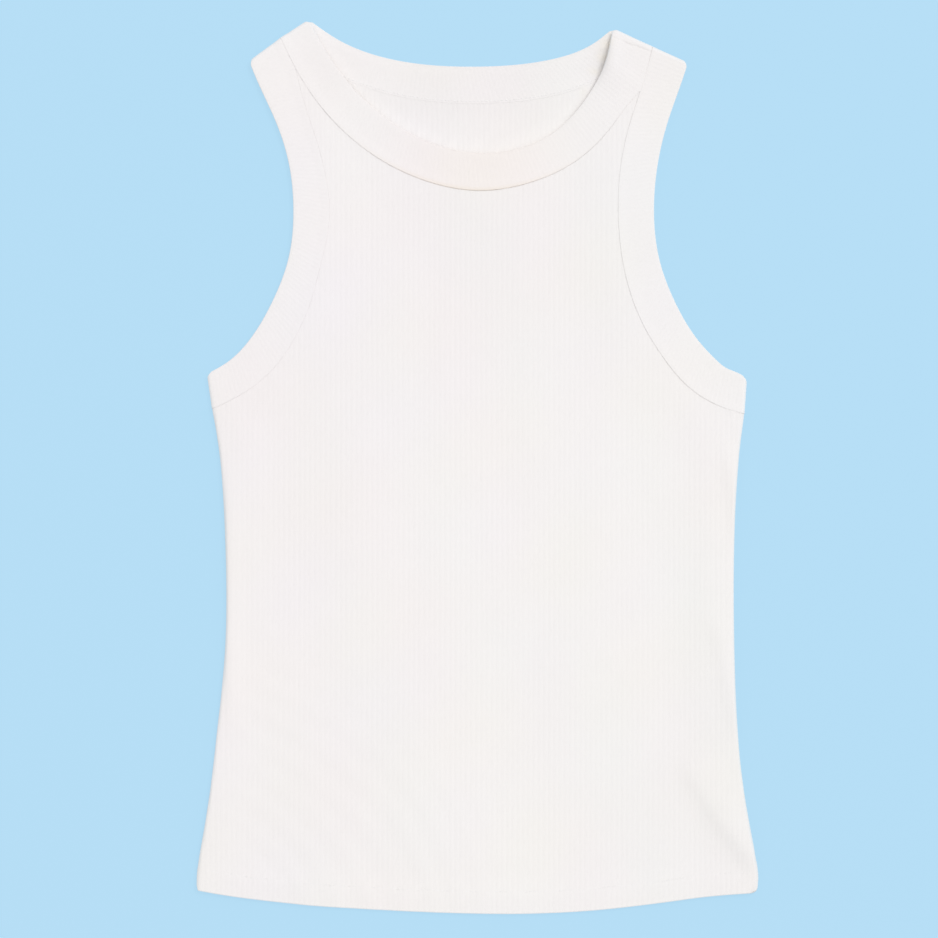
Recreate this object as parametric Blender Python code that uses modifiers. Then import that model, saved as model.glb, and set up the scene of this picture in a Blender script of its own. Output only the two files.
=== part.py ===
"""A sleeveless rib-knit tank top lying flat on its back panel, face up.

+Y points to the neck, +X to the right of a person looking down on it and +Z up. The origin is on the
surface it lies on, under the middle of its outline. Each piece that is cut and sewn is one object: the
front, the back, a doubled band round the neck and one round each armhole. Sizes are in millimetres up
to cloth_object(), which makes them metres.
"""

import math

import bpy
import numpy as np
from mathutils import Vector
from mathutils.geometry import delaunay_2d_cdt

MM = 0.001

# Cloth
KNIT = 1.2  # thickness of the rib
BAND = 2.2  # thickness of a doubled band
SEAM_GAP = 0.3  # between pieces at a seam
LAYER_GAP = 0.3  # between the front's layers and the back's
CLOTH_COLOUR = (0.90, 0.88, 0.86, 1.0)
CLOTH_ROUGHNESS = 0.9

# Bends at the outline: the radius at the middle of the cloth, and the rows of faces round a quarter turn
SIDE_BEND = 1.7
BAND_BEND = 1.6
BEND_ROWS = 4
SIDE_SEAM_RISE = 0.27  # half the gap where front and back meet round a side
CORNER = 3.5  # radius of a band's corner where it folds

# Heights of the middle of the cloth above the surface
BACK_LEVEL = KNIT / 2
FRONT_LEVEL = KNIT + LAYER_GAP + KNIT / 2
BACK_BAND_LEVEL = BAND / 2
FRONT_BAND_LEVEL = BAND + LAYER_GAP + BAND / 2  # a band on a band
NECK_DIP_LEVEL = KNIT + LAYER_GAP + BAND / 2  # the neckband on the back panel
BAND_STEP = 0.5  # how far a band's face stands above its panel's
RAISED = (BAND - KNIT) / 2 - BAND_STEP  # from the middle of a band to the middle of the panel beside it

# How the cloth comes down from what holds it up
PANEL_SETTLE = 16.0  # reach of the slope from a band or a side
BAND_SETTLE = 12.0  # reach of the slope from a band's fold
NECK_COMES_DOWN = (48.0, 85.0)  # from the shoulder, along the neckband
STRAPS_GO_UP = (205.0, 245.0)  # y

# The front of the neckband stands away from the back near the right shoulder
NECK_GAPE = 4.6
NECK_GAPE_FROM_FOLD = 24.0
NECK_GAPE_REACH = 24.0

# Spacing of the points
EDGE_SPACING = 13.0
FRONT_SPACING = 17.0
BACK_SPACING = 30.0
BAND_SPACING = 13.0
BAND_COLUMNS = 4
EDGE_CLEARANCE = 0.45  # of the spacing, left free beside an edge
CREASE_CLEARANCE = 0.55  # and beside a crease's own points

# Sides, from the hem to the armhole band. Columns: x, y.
SIDE_LEFT = (
    (-188.2, -283.5), (-182.8, -237.7), (-176.1, -183.8), (-170.7, -130.0), (-169.2, -90.0),
    (-169.6, -49.0), (-171.6, -10.0), (-174.7, 18.2), (-178.9, 39.6),
)  # fmt: skip
SIDE_RIGHT = (
    (184.8, -285.6), (187.4, -283.6), (188.2, -278.0), (182.2, -237.7), (174.9, -183.8),
    (172.1, -130.0), (171.3, -90.0), (172.0, -49.0), (174.2, -10.0), (176.8, 18.2), (179.4, 36.4),
)  # fmt: skip

# Hem, from left to right. Columns: x, y.
HEM = (
    (-188.2, -283.5), (-141.8, -291.4), (-70.0, -298.0), (0.0, -300.0), (62.0, -298.4),
    (130.3, -291.8), (184.8, -285.6),
)  # fmt: skip
BACK_HEM_RAISED = 1.5

# Armhole bands, from the shoulder to the underarm: free edge and seam. Columns: x, y.
ARM_EDGE_LEFT = (
    (-153.4, 273.2), (-148.0, 259.5), (-136.4, 233.7), (-127.6, 206.7), (-124.0, 173.0), (-127.6, 139.4),
    (-137.7, 112.5), (-153.2, 85.5), (-167.3, 72.1), (-181.8, 62.6),
)  # fmt: skip
ARM_SEAM_LEFT = (
    (-134.9, 285.9), (-126.9, 266.0), (-119.5, 249.8), (-108.1, 217.5), (-101.0, 190.0), (-99.5, 170.0),
    (-104.8, 139.4), (-113.5, 107.8), (-123.8, 85.8), (-139.9, 64.0), (-153.9, 52.6), (-178.9, 39.6),
)  # fmt: skip
ARM_EDGE_RIGHT = (
    (140.6, 272.0), (136.8, 259.5), (128.3, 233.7), (121.5, 206.7), (118.2, 170.0), (122.2, 139.4),
    (131.7, 112.5), (147.8, 85.5), (160.6, 72.1), (173.2, 65.4), (180.4, 61.0),
)  # fmt: skip
ARM_SEAM_RIGHT = (
    (117.5, 282.4), (111.4, 259.9), (101.3, 227.6), (95.3, 195.3), (94.6, 166.0), (100.7, 123.9),
    (113.5, 91.6), (124.2, 75.4), (140.2, 56.0), (159.3, 43.4), (179.4, 36.4),
)  # fmt: skip

# Neckband, from left to right: free edge and seam, in front and behind. Columns: x, y.
NECK_EDGE = (
    (-113.2, 300.0), (-102.7, 282.2), (-78.5, 250.5), (-46.1, 225.6), (1.7, 212.3), (33.3, 216.8),
    (49.5, 225.6), (73.7, 251.9), (82.8, 268.0), (91.0, 294.6),
)  # fmt: skip
NECK_SEAM = (
    (-134.3, 286.3), (-118.9, 261.3), (-94.6, 230.3), (-62.3, 205.4), (-30.0, 191.7), (1.7, 187.0),
    (33.3, 191.9), (65.7, 206.1), (89.9, 229.0), (99.0, 241.5), (108.4, 252.6),
)  # fmt: skip
BACK_NECK_EDGE = (
    (-113.2, 300.0), (-93.3, 287.6), (-56.2, 274.6), (-2.0, 270.0), (46.8, 274.3), (78.0, 285.6),
    (91.0, 294.6),
)  # fmt: skip
BACK_NECK_SEAM = (
    (-134.3, 286.3), (-105.0, 268.8), (-79.3, 257.2), (-52.7, 249.6), (3.0, 245.0), (58.5, 252.0),
    (90.0, 265.0), (117.2, 282.4),
)  # fmt: skip
TIP_WIDTH = 1.0  # where a panel's strap runs out between two bands

# Creases of the front, each a soft ridge. Columns: x0, y0, x1, y1, half width, height.
CREASES = (
    (148.0, -192.0, 188.0, -252.0, 9.0, 3.2),
    (116.0, -222.0, 166.0, -276.0, 15.0, 1.3),
    (162.0, 20.0, 158.0, -70.0, 9.0, 1.3),
    (160.0, -95.0, 163.0, -190.0, 8.0, 1.2),
    (-152.0, -20.0, -150.0, -150.0, 11.0, 1.1),
    (-158.0, -165.0, -118.0, -262.0, 12.0, 1.0),
    (-8.0, 150.0, -14.0, 20.0, 14.0, 0.8),
    (28.0, 140.0, 34.0, -10.0, 12.0, 0.7),
)  # fmt: skip
CREASE_RISES = (-0.12, 0.25)  # shares of a crease's length, and the same from its other end
CREASE_FLANK = 1.2  # half widths from the ridge to the points beside it


# Curves and distances


def smooth_curve(rows, count=600):
    """Closely spaced points of the natural cubic spline through the rows."""
    knots = np.array(rows, float)
    along = np.concatenate([[0], np.cumsum(np.linalg.norm(np.diff(knots, axis=0), axis=1))])
    step = np.diff(along)
    system, right = np.eye(len(knots)), np.zeros_like(knots)
    for i in range(1, len(knots) - 1):
        system[i, i - 1 : i + 2] = step[i - 1], 2 * (step[i - 1] + step[i]), step[i]
        right[i] = 6 * ((knots[i + 1] - knots[i]) / step[i] - (knots[i] - knots[i - 1]) / step[i - 1])
    bend = np.linalg.solve(system, right)
    place = np.linspace(0, along[-1], count)
    i = np.clip(np.searchsorted(along, place, side="right") - 1, 0, len(step) - 1)
    b = ((place - along[i]) / step[i])[:, None]
    a = 1 - b
    cubic = (a**3 - a) * bend[i] + (b**3 - b) * bend[i + 1]
    return a * knots[i] + b * knots[i + 1] + cubic * step[i][:, None] ** 2 / 6


def length_of(curve):
    return float(np.linalg.norm(np.diff(curve, axis=0), axis=1).sum())


def point_at(curve, distance):
    """The points of a curve at these distances from its start."""
    along = np.concatenate([[0], np.cumsum(np.linalg.norm(np.diff(curve, axis=0), axis=1))])
    return np.stack([np.interp(distance, along, curve[:, k]) for k in (0, 1)], axis=-1)


def evenly(curve, start, end):
    """Evenly spaced points of a curve between two distances along it, without those at its ends."""
    count = max(2, round((end - start) / EDGE_SPACING))
    return point_at(curve, np.linspace(start, end, count + 1)[1:-1])


def shifted(curve, by):
    """The curve moved to its left by this distance, or to its right where it is negative."""
    ahead = np.gradient(curve, axis=0)
    ahead /= np.linalg.norm(ahead, axis=1)[:, None]
    return curve + by * np.stack([-ahead[:, 1], ahead[:, 0]], axis=1)


def distance_to(points, line):
    """Each point's distance from a line of points."""
    start, run = line[:-1], np.diff(line, axis=0)
    share = ((points[:, None] - start) * run).sum(2) / (run * run).sum(1)
    nearest = start + np.clip(share, 0, 1)[..., None] * run
    return np.linalg.norm(points[:, None] - nearest, axis=2).min(1)


def is_inside(points, loop):
    """Which points lie inside a closed outline."""
    x, y = points[:, :1], points[:, 1:]
    a, b = loop, np.roll(loop, -1, axis=0)
    crosses = (a[:, 1] > y) != (b[:, 1] > y)
    rise = np.where(b[:, 1] == a[:, 1], 1, b[:, 1] - a[:, 1])
    left = x < (b[:, 0] - a[:, 0]) * (y - a[:, 1]) / rise + a[:, 0]
    return (crosses & left).sum(1) % 2 == 1


def smooth_step(start, end, x):
    share = np.clip((x - start) / (end - start), 0, 1)
    return share * share * (3 - 2 * share)


def bump(x, reach):
    return np.exp(-((x / reach) ** 2))


# Cloth


def cloth_material(name):
    cloth = bpy.data.materials.new(name)
    cloth.use_nodes = True
    shader = cloth.node_tree.nodes["Principled BSDF"]
    shader.inputs["Base Color"].default_value = CLOTH_COLOUR
    shader.inputs["Roughness"].default_value = CLOTH_ROUGHNESS
    shader.inputs["Metallic"].default_value = 0.0
    return cloth


def cloth_object(name, points, faces, thickness):
    """A piece of cloth: the middle of its thickness as an open surface, with Solidify."""
    mesh = bpy.data.meshes.new(name)
    mesh.from_pydata((np.array(points) * MM).tolist(), [], faces)
    mesh.shade_smooth()
    mesh.set_sharp_from_angle(angle=math.radians(50))
    mesh.materials.append(cloth_material(name + "_rib"))
    piece = bpy.data.objects.new(name, mesh)
    wall = piece.modifiers.new("thickness", "SOLIDIFY")
    wall.thickness = thickness * MM
    wall.offset = 0
    wall.use_even_offset = True
    return piece


# Seams


def front_neck_seam():
    """The neckband's seam, which meets the right armhole band's and runs beside it to the shoulder."""
    to_band = smooth_curve(NECK_SEAM)
    beside = shifted(smooth_curve(ARM_SEAM_RIGHT), -SEAM_GAP)[::-1]
    meeting = np.linalg.norm(beside - to_band[-1], axis=1).argmin()
    return np.concatenate([to_band, beside[meeting + 1 :]])


def apart(curve, other):
    """The part of a curve that is at least a strap's tip away from another."""
    clear = distance_to(curve, other) >= TIP_WIDTH
    return curve[clear.argmax() : len(clear) - clear[::-1].argmax()]


def panel_seams(neck_seam):
    """A panel's edges beside the armhole bands and the neckband, with its straps' tips cut off."""
    left = shifted(smooth_curve(ARM_SEAM_LEFT), SEAM_GAP)
    right = shifted(smooth_curve(ARM_SEAM_RIGHT), -SEAM_GAP)
    neck = shifted(neck_seam, -SEAM_GAP)
    return (apart(left, neck), apart(right, neck)), apart(apart(neck, left), right)


# Bands: a strip folded double along its free edge, and folded back on itself where the garment folds


def band_stations(length):
    """Distances from one fold of a band to the other, close together round the folds."""
    bend = [BAND_BEND * (1 - math.cos(k * math.pi / 2 / BEND_ROWS)) for k in range(BEND_ROWS + 1)]
    count = round((length - 2 * BAND_BEND) / BAND_SPACING)
    middle = np.linspace(BAND_BEND, length - BAND_BEND, count + 1)[1:-1]
    return np.array(bend + middle.tolist() + [length - s for s in reversed(bend)])


def band_face(edge, seam, stations, height):
    """Rows of points across one face of a band, from its free edge to its seam."""
    rows = []
    for s in stations:
        share = s / stations[-1]
        free, sewn = (
            point_at(curve, BAND / 2 + share * (length_of(curve) - BAND)) for curve in (edge, seam)
        )
        from_fold = min(s, stations[-1] - s)
        rounding = CORNER - math.sqrt(CORNER**2 - max(0.0, CORNER - from_fold) ** 2)
        free = free + (sewn - free) * rounding / np.linalg.norm(sewn - free)
        for across in np.linspace(0, 1, BAND_COLUMNS):
            rows.append((*(free + (sewn - free) * across), height(s, across)))
    return rows


def band_ring(name, front, back, level, gape=0.0):
    """A band folded at both ends of its front: front and back are each a free edge and a seam."""
    length = sum(length_of(curve) for curve in front) / 2 - BAND
    stations = band_stations(length)
    bend_height = BACK_BAND_LEVEL + BAND_BEND

    def round_bend(s):
        return math.sqrt(1 - max(0.0, 1 - min(s, length - s) / BAND_BEND) ** 2)

    def front_band_height(s, across):
        lift = gape * bump(length - s - NECK_GAPE_FROM_FOLD, NECK_GAPE_REACH) * (1 - across)
        return bend_height + round_bend(s) * (level(min(s, length - s)) - bend_height + lift)

    def back_band_height(s, across):
        return bend_height - round_bend(s) * BAND_BEND

    above = band_face(*front, stations, front_band_height)
    below = band_face(*back, stations, back_band_height)
    rows = [above[i : i + BAND_COLUMNS] for i in range(0, len(above), BAND_COLUMNS)]
    rows += [below[i : i + BAND_COLUMNS] for i in range(0, len(below), BAND_COLUMNS)][-2:0:-1]
    points = [point for row in rows for point in row]
    faces = []
    for i in range(len(rows)):
        here, ahead = i * BAND_COLUMNS, (i + 1) % len(rows) * BAND_COLUMNS
        for c in range(BAND_COLUMNS - 1):
            faces.append((here + c, here + c + 1, ahead + c + 1, ahead + c))
    return cloth_object(name, points, faces, BAND)


def arm_level(from_fold):
    """Height of an armhole band's front, by its distance from a fold."""
    fold_top = BACK_BAND_LEVEL + 2 * BAND_BEND
    return FRONT_BAND_LEVEL + (fold_top - FRONT_BAND_LEVEL) * bump(from_fold, BAND_SETTLE)


def neck_level(from_fold):
    """Height of the neckband's front, which comes down off the back's band on to the back panel."""
    dip = (FRONT_BAND_LEVEL - NECK_DIP_LEVEL) * smooth_step(*NECK_COMES_DOWN, from_fold)
    return arm_level(from_fold) - dip


# Panels: a flat pattern cut into triangles, then laid to its heights


def rolled_sides(hem_raised, armholes):
    """The lines of points round each side's bend, from its seam inwards, for the left and the right."""
    bend = [SIDE_BEND * (1 - math.cos(k * math.pi / 2 / BEND_ROWS)) for k in range(BEND_ROWS + 1)]
    bend[0] = SIDE_BEND - math.sqrt(SIDE_BEND**2 - SIDE_SEAM_RISE**2)
    sides = []
    for rows, inward, armhole in zip((SIDE_LEFT, SIDE_RIGHT), (-1, 1), armholes):
        lines = []
        for inset in bend:
            curve = shifted(smooth_curve(rows), inward * (KNIT / 2 + inset))
            count = round(length_of(curve) / EDGE_SPACING)
            line = point_at(curve, np.linspace(hem_raised, length_of(curve), count + 1))
            line[-1] = point_at(armhole[::-1], KNIT / 2 + inset)
            lines.append(line)
        sides.append(lines)
    return sides


def pattern_outline(hem, sides, armholes, neck):
    """The closed outline of a panel's pattern, anticlockwise from its bottom left corner."""
    left, right = sides
    arm_left, arm_right = armholes
    bend = KNIT / 2 + SIDE_BEND
    parts = (
        [line[0] for line in left],
        evenly(hem, bend, length_of(hem) - bend),
        [line[0] for line in reversed(right)],
        right[0][1:-1],
        [line[-1] for line in right],
        evenly(arm_right[::-1], bend, length_of(arm_right)),
        [arm_right[0], neck[-1]],
        evenly(neck[::-1], 0, length_of(neck)),
        [neck[0], arm_left[0]],
        evenly(arm_left, 0, length_of(arm_left) - bend),
        [line[-1] for line in reversed(left)],
        left[0][-2:0:-1],
    )
    return np.concatenate([np.array(part).reshape(-1, 2) for part in parts])


def inner_points(loop, spacing, creased):
    """A triangular lattice inside an outline, and the creases' own points."""
    low, high = loop.min(0), loop.max(0)
    rows = np.arange(low[1], high[1], spacing * math.sqrt(3) / 2)
    columns = np.arange(low[0], high[0], spacing)
    points = np.array([(x + i % 2 * spacing / 2, y) for i, y in enumerate(rows) for x in columns])
    if len(creased):
        nearest = np.linalg.norm(points[:, None] - creased, axis=2).min(1)
        points = np.concatenate([points[nearest > spacing * CREASE_CLEARANCE], creased])
    points = points[is_inside(points, loop)]
    outline = np.concatenate([loop, loop[:1]])
    return points[distance_to(points, outline) > spacing * EDGE_CLEARANCE]


def panel(name, hem_raised, armholes, neck, spacing, height, creased=()):
    """A front or back panel."""
    hem = smooth_curve(HEM) + (0, hem_raised)
    sides = rolled_sides(hem_raised, armholes)
    loop = pattern_outline(hem, sides, armholes, neck)
    points = [loop]
    edges = [(i, (i + 1) % len(loop)) for i in range(len(loop))]
    first = len(loop)
    for lines in sides:
        for line in lines[1:]:
            points.append(line)
            edges += [(first + i, first + i + 1) for i in range(len(line) - 1)]
            first += len(line)
    points.append(inner_points(loop, spacing, creased))
    pattern = [Vector(point) for point in np.concatenate(points)]
    inside_edges = 1
    flat, _, faces = delaunay_2d_cdt(pattern, edges, [], inside_edges, 1e-4)[:3]
    flat = np.array(flat)
    return cloth_object(name, np.column_stack([flat, height(flat)]), [tuple(f) for f in faces], KNIT)


def crease_points(spacing):
    """Points on each crease of the front and on both its flanks."""
    points = []
    for x0, y0, x1, y1, width, _ in CREASES:
        start, run = np.array((x0, y0)), np.array((x1 - x0, y1 - y0))
        length = np.linalg.norm(run)
        across = np.array((-run[1], run[0])) / length * width
        for share in np.linspace(0, 1, round(length / spacing) + 1):
            for flank in (-CREASE_FLANK, 0, CREASE_FLANK):
                points.append(start + share * run + flank * across)
    return np.array(points)


def crease_height(points):
    """How far the creases lift the front."""
    total = np.zeros(len(points))
    for x0, y0, x1, y1, width, height in CREASES:
        start, run = np.array((x0, y0)), np.array((x1 - x0, y1 - y0))
        length = np.linalg.norm(run)
        along = (points - start) @ run / length**2
        off = (points - start) @ np.array((-run[1], run[0])) / length
        fade = smooth_step(*CREASE_RISES, along) * smooth_step(*CREASE_RISES, 1 - along)
        total += height * fade * bump(off, width)
    return total


def side_bend(points):
    """Each point's height round a side's bend, as a share, and its distance from the nearer side."""
    edges = (shifted(smooth_curve(SIDE_LEFT), -KNIT / 2), shifted(smooth_curve(SIDE_RIGHT), KNIT / 2))
    away = np.minimum(*(distance_to(points, edge) for edge in edges))
    return np.sqrt(1 - np.clip(1 - away / SIDE_BEND, 0, 1) ** 2), away


def front_height(points):
    """Height of the middle of the front's cloth: raised by its bands, its sides and its creases."""
    share, away = side_bend(points)
    bend_height = BACK_LEVEL + SIDE_BEND
    to_left, to_right, to_neck = (
        distance_to(points, smooth_curve(seam)) for seam in (ARM_SEAM_LEFT, ARM_SEAM_RIGHT, NECK_SEAM)
    )
    at_arms = (FRONT_BAND_LEVEL + RAISED - FRONT_LEVEL) * bump(np.minimum(to_left, to_right), PANEL_SETTLE)
    neckband = NECK_DIP_LEVEL + (FRONT_BAND_LEVEL - NECK_DIP_LEVEL) * smooth_step(*STRAPS_GO_UP, points[:, 1])
    at_neck = (neckband + RAISED - FRONT_LEVEL) * bump(to_neck, PANEL_SETTLE)
    at_sides = (bend_height + SIDE_BEND - FRONT_LEVEL) * bump(np.maximum(0, away - SIDE_BEND), PANEL_SETTLE)
    raised = (at_arms**4 + at_neck**4 + at_sides**4) ** 0.25  # close to the largest of the three
    return bend_height + share * (FRONT_LEVEL + raised + crease_height(points) - bend_height)


def back_height(points):
    """Height of the middle of the back's cloth: flat, and turned up round its sides."""
    share, _ = side_bend(points)
    return BACK_LEVEL + (1 - share) * SIDE_BEND


# The five pieces


def front_panel():
    armholes, neck = panel_seams(front_neck_seam())
    creased = crease_points(FRONT_SPACING)
    return panel("front_panel", 0.0, armholes, neck, FRONT_SPACING, front_height, creased)


def back_panel():
    armholes, neck = panel_seams(smooth_curve(BACK_NECK_SEAM))
    return panel("back_panel", BACK_HEM_RAISED, armholes, neck, BACK_SPACING, back_height)


def neckband():
    front = (smooth_curve(NECK_EDGE), front_neck_seam())
    back = (smooth_curve(BACK_NECK_EDGE), smooth_curve(BACK_NECK_SEAM))
    return band_ring("neckband", front, back, neck_level, NECK_GAPE)


def armband(name, edge, seam):
    layer = (smooth_curve(edge), smooth_curve(seam))
    return band_ring(name, layer, layer, arm_level)


def build():
    for old in list(bpy.data.objects):
        bpy.data.objects.remove(old, do_unlink=True)
    garment = bpy.data.collections.new("tank_top")
    bpy.context.scene.collection.children.link(garment)
    pieces = (
        front_panel(),
        back_panel(),
        neckband(),
        armband("armband_left", ARM_EDGE_LEFT, ARM_SEAM_LEFT),
        armband("armband_right", ARM_EDGE_RIGHT, ARM_SEAM_RIGHT),
    )
    for piece in pieces:
        garment.objects.link(piece)


build()
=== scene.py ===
"""The looks of the rib-knit tank top: ribs, doubled hem, bands, stitching, creases, cloth, light and camera.

Shapes are worked out in the part's own millimetres and laid into the frame, whose unit is the metre. +X is
to the right, +Y to the neck and +Z up. Each panel is a flat pattern cut into triangles, raised into ribs
and laid to its heights, with both its faces and rounded edges. Each band is a closed ring of sections.
"""

import math
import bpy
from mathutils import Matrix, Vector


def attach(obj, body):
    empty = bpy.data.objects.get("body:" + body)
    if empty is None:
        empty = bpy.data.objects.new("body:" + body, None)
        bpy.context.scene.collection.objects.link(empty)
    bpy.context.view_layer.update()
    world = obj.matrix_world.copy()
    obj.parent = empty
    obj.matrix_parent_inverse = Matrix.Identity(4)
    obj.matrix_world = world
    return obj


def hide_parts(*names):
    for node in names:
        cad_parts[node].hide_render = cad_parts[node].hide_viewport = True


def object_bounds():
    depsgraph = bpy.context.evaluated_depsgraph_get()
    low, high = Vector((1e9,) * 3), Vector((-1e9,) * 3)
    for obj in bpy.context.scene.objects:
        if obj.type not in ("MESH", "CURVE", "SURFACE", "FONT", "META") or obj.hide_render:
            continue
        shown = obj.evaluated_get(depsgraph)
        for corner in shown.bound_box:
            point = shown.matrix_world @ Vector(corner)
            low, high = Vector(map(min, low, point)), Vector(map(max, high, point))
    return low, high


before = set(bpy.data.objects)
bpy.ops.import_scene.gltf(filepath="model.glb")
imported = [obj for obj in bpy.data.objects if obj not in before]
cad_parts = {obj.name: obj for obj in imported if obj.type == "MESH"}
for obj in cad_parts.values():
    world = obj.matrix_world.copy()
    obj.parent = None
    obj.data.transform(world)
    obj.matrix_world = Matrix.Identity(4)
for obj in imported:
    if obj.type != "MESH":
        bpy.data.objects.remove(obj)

from types import SimpleNamespace

import bpy
import numpy as np
from mathutils import Vector
from mathutils.geometry import delaunay_2d_cdt
from mathutils.kdtree import KDTree

CAD_LOW, CAD_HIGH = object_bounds()
MM = 0.001
BODY = "root"

# The cut: thicknesses, gaps and bends
KNIT = 1.2  # thickness of the rib
BAND = 2.2  # thickness of a doubled band
RIGHT_JOIN_GAP = 0.045  # between the neckband and the right armhole band
LEFT_JOIN_LAP = 0.03  # how far the left armhole band runs into the neckband at the shoulder's fold
LEFT_JOIN_REACH = (6, 16)  # from the fold, along the seam
SEAM_GAP = 0.02  # closer than the solids, so that no light comes through
LAYER_GAP = 0.3
SIDE_BEND = 2.1  # radius at the middle of the cloth
BAND_BEND = 1.6
SIDE_SEAM_RISE = 0.27  # half the gap where front and back meet round a side
CORNER = 3.5  # radius of a band's corner where it folds

# Heights of the middle of the cloth above the surface
FRONT_FLOOR = KNIT + LAYER_GAP  # underside of the front where it lies on the back
BACK_BAND_LEVEL = BAND / 2
FRONT_BAND_LEVEL = BAND + LAYER_GAP + BAND / 2
NECK_DIP_LEVEL = KNIT + LAYER_GAP + BAND / 2
FACE_DIFFERENCE = (BAND - KNIT) / 2
PANEL_SETTLE = 26.0  # how far from a band or side a panel comes down, and a band from its fold
BAND_SETTLE = 12.0
NECK_COMES_DOWN = (48, 85)
STRAPS_GO_UP = (205, 245)
# The gape: the neckband stands up near the right shoulder
NECK_GAPE = 6.4
NECK_GAPE_POWER = 1.4  # 1 tilts the band, and more curls it
NECK_ROLL = 1.5  # how far its free edge turns down there
NECK_ROLL_REACH = 4.2
NECK_GAPE_FROM_FOLD = 22.0
NECK_GAPE_REACH = 16.0

# Ribs and the knit
BODY_RIB = 3.5  # pitch of the ribs
BODY_RELIEF = 0.118  # height of a rib
BAND_RIB = 2.95
BAND_RELIEF = 0.07
RIB_BULK = 1 + 0.16 * np.random.RandomState(5).uniform(-1, 1, 113)  # each rib's share of the full relief
RIB_DRIFT = (0.08, 31, 9)  # its change along a rib, millimetres to a radian, phase by the bulk
RIB_WANDER = (0.12, 57, 83)  # how far a rib strays, millimetres to a radian along and across
RIB_CLEAR = 0.7  # from a seam to the full relief
HEM_NEARER = 4  # how many times nearer the hem it is full
BAND_RIB_BULK = (0.18, 17, 5.3)  # change of a band's relief, millimetres to a radian of its two waves
RIB_ROUND = 0.8  # 1 is a cosine, and less is a broader rib with a narrower groove
WALES = 4  # columns of stitches in a rib
COURSE = 0.65  # height of a stitch
STITCH_SLANT = 1.1
STITCH_LOOPS = (0.35, 0.65)  # how much of a stitch's height changes along its loop, and the rest

# The hem, turned up inside
HEM_STITCHES = 15.0  # above the edge
HEM_EXTRA = 0.6  # thickness that the turned-up cloth adds
HEM_STEP = (14.6, 16.2)  # where the extra thickness ends, above the fold
HEM_LIFT = 0.7  # how far the back's hem lifts the front
HEM_LIFT_ENDS = (14, 27)
HEM_GROOVE = 0.22  # depth of the row of stitches
HEM_GROOVE_WIDTH = 0.9

# Seams
# A band's sewn edge. Columns: share of the seam's length, radius of the edge, how far the band's face stands
# above the panel's.
ARM_LEFT_EDGE_SHAPE = (
    (0, 0.08, 0), (0.7, 0.08, 0.01), (0.82, 0.10, 0.03), (0.9, 0.13, 0.05), (1, 0.17, 0.07),
)
ARM_RIGHT_EDGE_SHAPE = (
    (0, 0.52, 0.30), (0.10, 0.32, 0.18), (0.20, 0.10, 0.06), (0.30, 0.13, 0.07), (0.36, 0.22, 0.12),
    (0.55, 0.14, 0.08), (0.65, 0.24, 0.12), (0.80, 0.52, 0.27), (0.88, 0.43, 0.18), (0.96, 0.18, 0.06),
    (1, 0.10, 0.02),
)
FRONT_NECK_EDGE_SHAPE = (
    (0, 0.08, 0), (0.05, 0.08, 0.01), (0.09, 0.27, 0.09), (0.13, 0.48, 0.17), (0.18, 0.42, 0.14),
    (0.28, 0.20, 0.06), (0.36, 0.30, 0.10), (0.43, 0.22, 0.07), (0.52, 0.52, 0.20), (0.57, 0.48, 0.18),
    (0.65, 0.32, 0.10), (0.71, 0.12, 0.03), (0.80, 0.08, 0.01), (0.87, 0.09, 0.01), (0.91, 0.34, 0.14),
    (1, 0.38, 0.16),
)
FRONT_EDGE_SHAPES = (ARM_LEFT_EDGE_SHAPE, ARM_RIGHT_EDGE_SHAPE, FRONT_NECK_EDGE_SHAPE)
BACK_ROUND = 0.10  # the radius on the garment's back
BACK_EDGE_SHARE = 0.96  # share of the half thickness left at the edge there
PANEL_EDGE_SHARE = 0.92
EDGE_DROP = 0.04  # how far a band's edge ends below the panel's face
CUT_SHARE = 0.5  # a panel's edge beside the band, of the band's radius
RAISE_POWER = 8
BACK_ALLOWANCE = 0.95  # thickness that the back neck's allowance adds to the panel's inner face
BACK_ALLOWANCE_REACH = 6.5
UNDER_NECK_RISE = 0.26  # of the back panel under the neckband's free edge
UNDER_NECK_REACH = 3.6
UNDER_NECK_BELOW = 240.0
# The allowances inside a band raise a ridge beside its seam. Columns: distance from the seam, width, height.
ARM_RIDGE = (1.4, 2.2, 0.38)
NECK_RIDGE = (1.4, 3.6, 0.55)
PUCKER = 0.12  # height of the gathers beside a seam
PUCKER_LENGTH = 13.0
PUCKER_REACH = 9.0
PUCKER_WANDER = ((1.7, 19), (1, 7.3))  # radians of change, millimetres to a radian

# Edges: radius of a rounded edge and where its rows of points go
CUT_ROUND = 0.4
HEM_ROUND = 0.85
BAND_FOLD_ROUND = 0.6

# Spacing of the points
RIB_STEPS = 6  # points across a rib
FRONT_ALONG = 4.5
BACK_ALONG = 8.0
INSIDE_LATTICE = (7, 12)  # across and along, on the front's hidden face
SEAM_SPACING = BODY_RIB / RIB_STEPS
SIDE_SPACING = 3.0
BAND_STEP_ALONG = BAND_RIB / RIB_STEPS
FOLD_STEPS = 12  # round a band's fold at a shoulder or underarm
OUTER_SECTION = (4, 10, 3)  # steps round a band's fold, across it and round its sewn edge
INNER_SECTION = (2, 4, 2)
LATTICE_SHEAR = 0.03  # of a row, from each column to the next, so that all cells are cut the same way

# Sides, from the hem to the armhole band. Columns: x, y.
SIDE_LEFT = (
    (-189, -284.3), (-188.3, -268), (-185.4, -250), (-183.3, -237.7), (-179.2, -210), (-176.2, -183.8),
    (-170.6, -130), (-169.2, -90), (-170, -49), (-172, -10), (-175.1, 18.2), (-178.8, 39.1),
)
SIDE_RIGHT = (
    (184, -286.3), (187.4, -284.4), (188.7, -279.5), (187.6, -265), (182.7, -237.7), (178.3, -210),
    (175.6, -183.8), (173.1, -130), (172.5, -90), (172.9, -49), (174.6, -10), (177.2, 18.2), (179.6, 35.7),
)

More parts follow.
